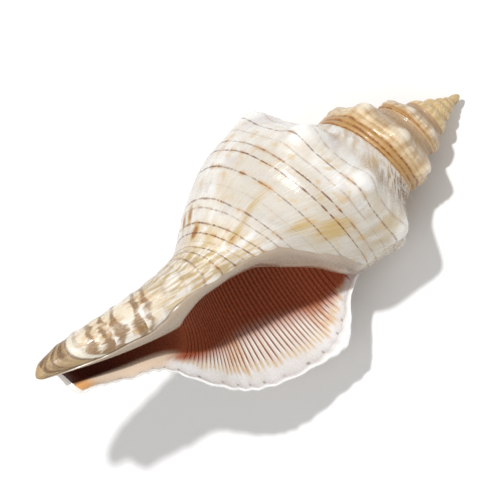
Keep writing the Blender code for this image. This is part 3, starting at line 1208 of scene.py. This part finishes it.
# %% Spiral lines group
def make_spiral_lines():
    inputs = {"Thread": 0.0, "Turns": 0.0, "Strength": 1.0, "Half Width": 0.06}
    group, given, out = new_group("spiral lines", inputs, ("Mask", "Halo", "Dip"))
    thread, turns, strength, half_width = given
    number = calc("ROUND", thread)
    wobble = (mottle(at(turns * 16.0, number * 3.7)) - 0.5) * half_width * 3.0
    away = abs(thread - number + wobble)
    dash_spot = at(turns * 60.0, number * 5.3, 2.0)
    dashes = fade(mottle(dash_spot, detail=4.0, roughness=0.75), 0.38, 0.58, 0.25, 1.0)
    own = fade(mottle(at(number * 0.77, turns * 7.0, 7.0)), 0.34, 0.5, 0.6, 1.0)
    edge = half_width * (dashes * 0.6 + 0.5)
    line = fade(away, edge * 0.45, edge * 1.25, 1.0, 0.0)
    halo = fade(away, 0.0, half_width * 4.5, 1.0, 0.0)
    tinted = fade(mottle(dash_spot, scale=0.6), 0.46, 0.66)
    give(line * dashes * own * strength, out["Mask"])
    give(halo * tinted * strength, out["Halo"])
    give(line * strength, out["Dip"])
    return group


spiral_lines = make_spiral_lines()
print("spiral lines nodes:", len(spiral_lines.nodes))

# %% [markdown]
# ## Chalky grain
#
# Under the gloss the shell is a fine mosaic. A three-dimensional noise in millimetres gives it,
# and being in space it has no seam. The same group breaks up the roughness, so that highlights
# are not glassy.

# %% Grain group
def make_grain():
    group, (size,), out = new_group("shell grain", {"Size In Mm": 1.0}, ("Tone", "Patch", "Height"))
    spot = Value(group.nodes.new("ShaderNodeTexCoord").outputs["Object"])
    scale = calc("DIVIDE", 1 / MM, size)
    small = mottle(spot, scale=scale, detail=3.0, roughness=0.6)
    large = mottle(spot, scale=scale * 0.1, detail=3.0)
    give(fade(small, 0.25, 0.75), out["Tone"])
    give(fade(large, 0.35, 0.65), out["Patch"])
    give(small, out["Height"])
    return group


grain = make_grain()
print("shell grain nodes:", len(grain.nodes))

# %% [markdown]
# ## Beginning and ending a material
#
# A polished shell is a hard white ceramic with a thin natural gloss, so both finishes share the
# same Principled shader: a refraction like aragonite's and a light coat. The finest relief is a
# bump, since it is finer than the mesh.

# %% Start and finish of a material
ARAGONITE_IOR = 1.53
GLOSS_COAT = 0.3
GLOSS_COAT_ROUGHNESS = 0.15


def start_material(name):
    material = bpy.data.materials.new(name)
    material.use_nodes = True
    tree = material.node_tree
    return material, tree, tree.nodes["Principled BSDF"]


def finish_material(tree, finish, colour, roughness, height, bump_mm):
    give(colour, finish.inputs["Base Color"])
    give(roughness, finish.inputs["Roughness"])
    finish.inputs["IOR"].default_value = ARAGONITE_IOR
    finish.inputs["Coat Weight"].default_value = GLOSS_COAT
    finish.inputs["Coat Roughness"].default_value = GLOSS_COAT_ROUGHNESS
    bump = tree.nodes.new("ShaderNodeBump")
    bump.inputs["Strength"].default_value = 1.0
    bump.inputs["Distance"].default_value = bump_mm * MM
    give(height, bump.inputs["Height"])
    tree.links.new(bump.outputs[0], finish.inputs["Normal"])


print("coat weight of both finishes:", GLOSS_COAT)

# %% [markdown]
# ## The outside finish: the last whorl
#
# The outside is white and cream, with lilac clouds, grey-tan growth lines and whiter knobs. It
# could be one noise through a colour ramp, but each tone sits in its own place on a real shell.
# So every tone is a layer with its own mask, read from the guides that the mesh carries.

# %% Body colour
def read_guides(tree):
    """What the layers of the outside need to know about each spot."""
    guide = SimpleNamespace()
    guide.turns, guide.place = read_map(tree, "Coil")
    guide.growth, guide.thread = read_map(tree, "Lines")
    guide.glaze, guide.stain = read_map(tree, "Marks")
    ink = dict(zip(("Strength", "Half_Width"), read_map(tree, "Ink")))
    guide.past_end, _ = read_map(tree, "Edges")
    guide.knob, _ = read_map(tree, "Knobs")
    guide.streaks = use_group(tree, growth_streaks, Growth=guide.growth, Place=guide.place)
    guide.specks = use_group(tree, grain, Size_In_Mm=0.8)
    guide.lines = use_group(tree, spiral_lines, Thread=guide.thread, Turns=guide.turns, **ink)
    guide.last_whorl = fade(guide.turns, 1.0, 0.97)
    guide.glazed = fade(guide.glaze, 0.0, 0.3)
    return guide


def paint_body(guide):
    turns, place, streaks = guide.turns, guide.place, guide.streaks
    shell_white = blend(guide.specks["Patch"], paint(239, 238, 235), paint(226, 220, 211))
    cloud = mottle(at(guide.growth * 13.0, place * 1.3, 6.0), detail=3.0)
    # Grey-tan middle of the body: partly its own colour, partly painted shade that darkens where the
    # key light falls full on.
    grey_patch_and_painted_shade = fade(turns, 0.5, 0.6) * fade(place, 2.3, 3.0) * fade(place, 4.8, 4.0)
    grey = streaks["Fine"] * fade(place, 0.8, 2.2, 0.6, 1.0) * 0.26
    # The older side of the body is darker: partly grey-tan growth streaks, partly painted shade where
    # that side turns away from the key light.
    streaked_and_shaded_side = fade(turns, 0.7, 0.86) * (streaks["Broad"] * 0.8 + 0.12)
    return lay(
        shell_white,
        (fade(cloud, 0.52, 0.68, 0.0, 0.6), paint(222, 206, 178)),
        (fade(cloud, 0.5, 0.36, 0.0, 0.65), paint(208, 202, 203)),
        (grey_patch_and_painted_shade * 0.85, paint(204, 198, 187)),
        (grey, paint(184, 168, 142)),
        (streaked_and_shaded_side, paint(188, 172, 140)),
        (fade(guide.knob, 0.35, 0.8, 0.0, 0.9), paint(244, 243, 240)),
    )


# The side layer listed below is partly grey-tan streaks and partly painted shade.
print("body layers: cream, lilac, dull, grey, worn side, white knobs")

# %% [markdown]
# ## The outside finish: streaks and patches
#
# Tan streaks lie on the ramp and on the base, and turn cream and yellow on the neck. The ochre
# and brown patches are where the pigment ran strong for some days. They are few and each has its
# own place, so the mesh carries them, and the fine streaks only break up their edges.

# %% Streaks and patches
def paint_streaks(guide, colour):
    place, streaks = guide.place, guide.streaks
    on_base = fade(place, 4.3, 5.2)
    tan_place = calc("MAXIMUM", fade(place, 1.8, 0.8), on_base)
    tan_tone = blend(on_base, paint(194, 166, 124), paint(206, 180, 128))
    neck = fade(mottle(at(guide.growth * 52.0, place * 3.6, 12.0)), 0.42, 0.6)
    neck = neck * fade(place, 5.1, 5.9) * fade(place, 7.1, 6.7)
    flecks = fade(mottle(at(guide.turns * 46.0, place * 3.2, 4.0)), 0.56, 0.7)
    flecks = flecks * fade(place, 1.8, 2.4) * fade(place, 4.6, 3.6)
    patch = guide.stain * (streaks["Fine"] * 0.7 + 0.6)
    return lay(
        colour,
        (streaks["Broad"] * (tan_place * 0.62 + 0.16), tan_tone),
        (neck * 0.8, paint(176, 150, 100)),
        (flecks * 0.55, paint(206, 176, 126)),
        (fade(patch, 0.12, 0.8, 0.0, 0.9), paint(192, 162, 100)),
        (fade(patch, 0.9, 1.4, 0.0, 0.85), paint(150, 84, 38)),
    )


print("patches placed by hand:", len(STAINS))

# %% [markdown]
# ## The outside finish: the spire
#
# Older whorls are worn and stained: a mauve-beige ramp, whitish knobs, ochre below them, a cream
# seam and a pale tip. They get a colour of their own, which takes over one turn behind the lip.
# Just before that, the ramp of the last whorl shows brown and cream folds.

# %% Spire and ramp
def paint_spire(guide):
    turns, place, broad = guide.turns, guide.place, guide.streaks["Broad"]
    ramp_tone = blend(guide.streaks["Fine"], paint(172, 142, 108), paint(200, 173, 138))
    cord_tone = blend(broad, paint(204, 172, 124), paint(228, 206, 168))
    cream_top = fade(place, 1.2, 1.75) * fade(place, 2.5, 2.0) * broad
    orange_place = fade(turns, 1.9, 2.1, 2.5, 2.2)
    orange = fade(place, orange_place, orange_place + 0.25) * fade(turns, 3.1, 2.6)
    tip_tone = blend(broad, paint(200, 168, 114), paint(224, 200, 156))
    return lay(
        blend(fade(place + broad * 0.35, 2.05, 2.5), ramp_tone, cord_tone),
        (cream_top * 0.35, paint(228, 216, 196)),
        (fade(guide.knob, 0.35, 0.95, 0.0, 0.75), paint(238, 228, 208)),
        (fade(place, 0.16, 0.05), paint(226, 196, 150)),
        (orange * 0.8, paint(178, 130, 60)),
        (fade(turns, 2.6, 3.4), tip_tone),
    )


def paint_ramp(guide, colour):
    turns, place = guide.turns, guide.place
    late_ramp = fade(turns, 0.69, 0.8) * fade(place, 1.7, 1.0) * guide.last_whorl
    folds = mottle(at(guide.growth * 130.0, place * 1.6, 21.0), detail=2.5, roughness=0.6)
    fold_tone = blend(fade(folds, 0.42, 0.56), paint(154, 116, 70), paint(228, 219, 205))
    seam = fade(place, 0.17, 0.1) * fade(mottle(at(turns * 70.0, 0.0)), 0.42, 0.6) * 0.7
    return lay(colour, (late_ramp * 0.85, fold_tone), (seam, paint(214, 170, 112)))


print("whorls with spire colour:", SPIRE_TURNS - 1)

# %% [markdown]
# ## The outside finish: lines and canal
#
# The spiral lines go over the body. Round the canal they widen into brown bands on cream. Near
# the tip the bands stop at a white cap, and past the old edge there is a brown end piece.

# %% Lines and canal
def paint_lines(guide, colour):
    turns, past_end, lines = guide.turns, guide.past_end, guide.lines
    last_whorl = guide.last_whorl
    on_canal = fade(guide.place, 6.5, 6.9) * last_whorl
    cream = blend(guide.specks["Patch"], paint(240, 236, 228), paint(226, 212, 186))
    band_tone = blend(guide.streaks["Fine"], paint(122, 88, 50), paint(158, 124, 80))
    line_tone = blend(on_canal, paint(104, 56, 18), band_tone)
    line_tone = blend(fade(turns, 0.985, 1.06), line_tone, paint(138, 78, 26))
    capped = fade(past_end, -0.09, -0.05) * last_whorl
    uncapped = 1.0 - capped
    band_gaps = mottle(at(turns * 11.0, guide.thread * 0.9, 15.0))
    bands = lines["Dip"] * fade(band_gaps, 0.36, 0.5, 0.35, 1.0)
    drawn = lines["Mask"] * (1.0 - on_canal) + bands * on_canal
    end_bands = mottle(at(turns * 3.0, past_end * 12.0, 8.0), detail=3.0)
    end_tone = blend(fade(end_bands, 0.4, 0.62), paint(116, 84, 50), paint(182, 154, 112))
    # The dark line along the old edge's low step is painted shade, sharper than the step in the mesh.
    old_edge_painted_shade = fade(abs(past_end - 0.01), 0.03, 0.0) * last_whorl
    return lay(
        colour,
        (on_canal * 0.92, cream),
        (capped * 0.75, paint(224, 213, 190)),
        (lines["Halo"] * last_whorl * uncapped * 0.85, paint(196, 154, 98)),
        (drawn * fade(turns, 3.3, 2.7) * uncapped * 0.92, line_tone),
        (fade(past_end, 0.0, 0.03) * last_whorl, end_tone),
        (old_edge_painted_shade * 0.8, paint(110, 78, 50)),
    )


print("spiral lines placed by hand:", sum(strength > 0 for _, strength in SPIRAL_LINES))

# %% [markdown]
# ## The outside finish: the glaze, and all of it together
#
# Beside the mouth the animal covers the old whorl with a smooth mauve-beige glaze, which ends in
# a thin dark line. The glaze is the last layer, and it also hides streaks and lines in the bump.

# %% Outside material
def paint_glaze(guide, colour):
    place, glaze = guide.place, guide.glaze
    glaze_tone = lay(
        blend(fade(glaze, 0.2, 2.2), paint(174, 154, 132), paint(148, 122, 98)),
        (guide.specks["Patch"] * 0.2, paint(206, 192, 178)),
        (fade(place, 5.5, 6.1), paint(174, 156, 136)),
        # Darker towards the mouth's edge: painted shade where the glaze curves in over the edge of the
        # mouth.
        (fade(guide.turns, 0.95, 0.995, 0.0, 0.7), paint(172, 126, 102)),
    )
    edge_line = fade(abs(glaze - 0.1), 0.22, 0.02) * fade(place, 6.2, 7.0, 0.1, 0.6) * guide.last_whorl
    return lay(colour, (guide.glazed, glaze_tone), (edge_line, paint(122, 98, 76)))


def make_outside_finish():
    material, tree, finish = start_material("shell_outside")
    guide = read_guides(tree)
    turns, specks = guide.turns, guide.specks
    colour = paint_streaks(guide, paint_body(guide))
    colour = lay(colour, (fade(turns, 0.985, 1.06), paint_spire(guide)))
    for cover in (paint_ramp, paint_lines, paint_glaze):
        colour = cover(guide, colour)
    roughness = fade(specks["Tone"], 0.0, 1.0, 0.2, 0.36) + fade(turns, 0.98, 1.1, 0.0, 0.16)
    plain = 1.0 - guide.glazed
    relief = guide.streaks["Height"] * 0.8 * plain + specks["Height"] * 0.03
    relief = relief - guide.lines["Dip"] * 0.15 * plain
    finish_material(tree, finish, colour, roughness, relief, bump_mm=0.35)
    return material


outside_finish = make_outside_finish()
print("outside finish nodes:", len(outside_finish.node_tree.nodes))

# %% [markdown]
# ## The lining finish: ribs
#
# The mouth is white at the lip, where the shell is newest, then peach with a dark red-brown line
# on each rib. Deeper in it turns dark red-brown: partly the shell's own orange-brown, partly a
# painted shadow whose edge follows the shadow that the inner lip casts over the ribs, with the ribs
# dimmed in it. The ribs are in the mesh, so the colour only has to use the same count of ribs over
# the same places.

# %% Rib colours
def paint_ribs(turns, place, white, on_roof):
    """White at the lip, cream and pinkish between ribs, orange-brown and painted shadow inside."""
    rib = (place - LIRA_FIRST_PLACE) * (LIRAE / (LIRA_LAST_PLACE - LIRA_FIRST_PLACE))
    number = calc("ROUND", rib)
    from_rib = abs(rib - number)
    own = mottle(at(number * 0.83, 0.0), detail=0.0)
    uneven = mottle(at(turns * 30.0, rib * 1.3))
    reached = turns + (own * 0.03 + uneven * 0.02 - 0.025)
    start = fade(place, 1.2, 4.2, 0.03, 0.045)
    half_rib = fade(reached, start, start + 0.03, 0.08, 0.14)
    in_mouth = fade(place, 5.85, 5.65) * fade(place, 0.8, 1.05) * on_roof
    line = fade(from_rib, half_rib * 0.6, half_rib * 1.35, 1.0, 0.0)
    line = line * fade(reached, start, start + 0.012)
    # The deep tone starts along a curve shaped like the edge of the inner lip's cast shadow, so it is
    # partly painted shadow.
    off_middle = abs(place - 3.5)
    deep_tone_and_painted_shadow = fade(turns + off_middle * off_middle * 0.014, 0.085, 0.135)
    upper_band = fade(abs(place - 1.75), 0.5, 0.1)
    lower_band = fade(abs(place - 4.15), 0.45, 0.1)
    orange = calc("MAXIMUM", upper_band, lower_band) * fade(uneven, 0.3, 0.6)
    between = lay(
        blend(fade(own, 0.4, 0.6), paint(253, 247, 238), paint(248, 234, 222)),
        (orange * 0.6, paint(226, 170, 108)),
        (deep_tone_and_painted_shadow, paint(182, 100, 68)),
    )
    straw = fade(abs(reached - start), 0.014, 0.0) * fade(from_rib, 0.36, 0.1) * in_mouth
    # Inside the painted shadow the ribs lose most of their contrast.
    rib_tone = blend(deep_tone_and_painted_shadow, blend(own, paint(104, 44, 18), paint(164, 92, 42)), paint(124, 60, 40))
    return lay(
        white,
        (fade(reached, start - 0.02, start + 0.01), between),
        (straw * 0.7, paint(224, 194, 136)),
        (line * in_mouth * 0.95, rib_tone),
    )


print("ribs in the mouth:", LIRAE)

# %% [markdown]
# ## The lining finish: canal, floor and lip
#
# Inside the canal it is peach and orange at the tip, and the slot under the pillar is painted almost
# black as its shadow, darkest towards the tip. The floor of the mouth is the glaze, darker further in.
# Small grey-brown dots sit in the notches of the lip.

# %% Lining material
def paint_canal(turns, place):
    # The slot's near-black is painted shadow, cast by the pillar over the inside of the canal.
    slot_painted_shadow = blend(fade(place, 5.9, 7.3), paint(150, 80, 54), paint(74, 34, 24))
    peach = blend(fade(place, 7.35, 7.85), paint(230, 208, 184), paint(226, 170, 110))
    inside = blend(fade(turns, 0.06, 0.09), peach, slot_painted_shadow)
    return blend(fade(turns, 0.0, 0.02), paint(240, 234, 226), inside)


def lip_dots(turns, place, flute):
    notch = fade(calc("COSINE", flute * TURN), -0.8, -0.97)
    by_lip = fade(turns, 0.013, 0.007) * fade(turns, 0.0005, 0.003)
    patchy = fade(mottle(at(place * 3.0, 0.0)), 0.34, 0.5)
    return notch * by_lip * fade(place, 1.2, 1.6) * patchy


def make_lining_finish():
    material, tree, finish = start_material("shell_lining")
    turns, place = read_map(tree, "Coil")
    growth, _ = read_map(tree, "Lines")
    _, flute = read_map(tree, "Edges")
    specks = use_group(tree, grain, Size_In_Mm=0.9)
    streaks = use_group(tree, growth_streaks, Growth=growth, Place=place)
    on_roof = fade(turns, 0.995, 0.985)
    white = blend(specks["Patch"], paint(253, 253, 252), paint(248, 246, 242))
    floor_tone = blend(fade(turns, 1.0, 1.1), paint(190, 150, 130), paint(160, 88, 60))
    colour = lay(
        paint_ribs(turns, place, white, on_roof),
        (fade(place, 5.7, 6.15) * on_roof, paint_canal(turns, place)),
        (fade(turns, 0.985, 0.995), floor_tone),
        (lip_dots(turns, place, flute) * on_roof * 0.55, paint(138, 112, 96)),
    )
    roughness = fade(specks["Tone"], 0.0, 1.0, 0.2, 0.34)
    relief = streaks["Height"] * 0.3 + specks["Height"] * 0.02
    finish_material(tree, finish, colour, roughness, relief, bump_mm=0.2)
    return material


lining_finish = make_lining_finish()
shell.data.materials.append(outside_finish)
shell.data.materials.append(lining_finish)
print("lining finish nodes:", len(lining_finish.node_tree.nodes))

# %% [markdown]
# ## Tie the shell to the frame
#
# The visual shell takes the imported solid's place, and moves with the only body.

# %% Ride and replace
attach(shell, "root")
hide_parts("shell")
print("materials on the shell:", [material.name for material in shell.data.materials])

# %% [markdown]
# ## The camera
#
# The photo shows the mouth, from a little to the side and from the canal's end, with the shell
# turned in the picture. The view was found by laying the model's landmarks over the photo's. A
# long lens far away fits a small object best, because near lenses swell the middle.

# %% Camera
VIEW_ROUND = math.radians(13.8)
VIEW_FROM_CANAL = math.radians(15.9)
VIEW_TURN = math.radians(37.2)
SHELL_LENGTH = 180.0
LENGTH_PIXELS = 533
FIT_SCALE = 0.978  # of the size first measured, where the outlines fit best
PIXEL = SHELL_LENGTH / LENGTH_PIXELS / FIT_SCALE
VIEW_CENTRE_DEPTH = 89.5
VIEW_DISTANCE = 5.5 * SHELL_LENGTH
CLIP_START = 0.01
CLIP_END = 20
PICTURE_PIXELS = 500
CENTRE_PIXEL = (265.5, 243.2)
SENSOR_WIDTH = 36.0


def view_axes():
    """Directions of the picture's right, its top and the camera, in the lying pose."""
    around = -(math.pi / 2 + VIEW_ROUND)
    toward = np.array([
        math.cos(VIEW_FROM_CANAL) * math.cos(around),
        math.cos(VIEW_FROM_CANAL) * math.sin(around),
        -math.sin(VIEW_FROM_CANAL),
    ])
    across = np.array([-math.sin(around), math.cos(around), 0])
    apexward = np.cross(toward, across)
    right = apexward * math.cos(VIEW_TURN) + across * math.sin(VIEW_TURN)
    up = apexward * math.sin(VIEW_TURN) - across * math.cos(VIEW_TURN)
    turn = laying_turn()
    return turn @ right, turn @ up, turn @ toward


def make_camera(aim):
    data = bpy.data.cameras.new("camera")
    data.sensor_width = SENSOR_WIDTH
    data.lens = SENSOR_WIDTH * VIEW_DISTANCE / (PICTURE_PIXELS * PIXEL)
    data.clip_start = CLIP_START
    data.clip_end = CLIP_END
    made = place_in_scene("camera", data)
    stand = aim + toward * VIEW_DISTANCE * MM
    rows = [(right[axis], up[axis], toward[axis], stand[axis]) for axis in range(3)]
    made.matrix_world = Matrix(rows + [(0, 0, 0, 1)])
    bpy.context.scene.camera = made
    return made


right, up, toward = view_axes()
centre = laying_turn() @ np.array([0, 0, -VIEW_CENTRE_DEPTH]) * MM + apex_place()
off_right = (CENTRE_PIXEL[0] - PICTURE_PIXELS / 2) * PIXEL * MM
off_down = (CENTRE_PIXEL[1] - PICTURE_PIXELS / 2) * PIXEL * MM
camera = make_camera(centre - right * off_right + up * off_down)
print("lens in mm:", round(camera.data.lens, 1), "camera height in m:", round(camera.location.z, 3))

# %% [markdown]
# ## Lights
#
# One small lamp stands up and to the left of the camera. It throws the edge of the mouth as a
# clear shadow over the ribs, which the photo shows. A large soft lamp from below and the pale
# surroundings fill the shadows, so that the white lip stays white.

# %% Lights
KEY_WATTS = 5.9
FILL_WATTS = 2.4
SURROUNDINGS = 0.44


def soft_light(name, direction, distance, size, power):
    data = bpy.data.lights.new(name, "AREA")
    data.shape = "DISK"
    data.size = size
    data.energy = power
    light = place_in_scene(name, data)
    way = Vector(direction).normalized()
    light.location = Vector(centre) + way * distance
    light.rotation_mode = "QUATERNION"
    light.rotation_quaternion = way.to_track_quat("Z", "Y")
    return light


key = soft_light("key light", toward * 0.88 - right * 0.32 + up * 0.34, 0.9, 0.05, KEY_WATTS)
fill = soft_light("fill light", toward * 0.8 - right * 0.3 - up * 0.4, 1.0, 0.9, FILL_WATTS)

world = bpy.data.worlds.new("studio")
bpy.context.scene.world = world
world.use_nodes = True
background = world.node_tree.nodes["Background"]
background.inputs["Color"].default_value = (1, 1, 1, 1)
background.inputs["Strength"].default_value = SURROUNDINGS
bpy.context.scene.view_settings.view_transform = "Standard"
print("key and fill in watts:", key.data.energy, fill.data.energy)

# %% [markdown]
# ## The floor
#
# A plain pale table, a hair below the shell so that the two don't flicker where they touch.

# %% Floor
FLOOR_HALF_SIDE = 3.0
FLOOR_GAP = 0.0002


def make_floor_plane():
    data = bpy.data.meshes.new("floor")
    half = FLOOR_HALF_SIDE
    corners = [(-half, -half, 0), (half, -half, 0), (half, half, 0), (-half, half, 0)]
    data.from_pydata(corners, [], [(0, 1, 2, 3)])
    made = place_in_scene("floor", data)
    made.location.z = -FLOOR_GAP
    material, _, finish = start_material("pale floor")
    finish.inputs["Base Color"].default_value = (0.9, 0.9, 0.9, 1)
    finish.inputs["Roughness"].default_value = 0.7
    data.materials.append(material)
    return made


floor_plane = make_floor_plane()
print("floor side in m:", floor_plane.dimensions.x)
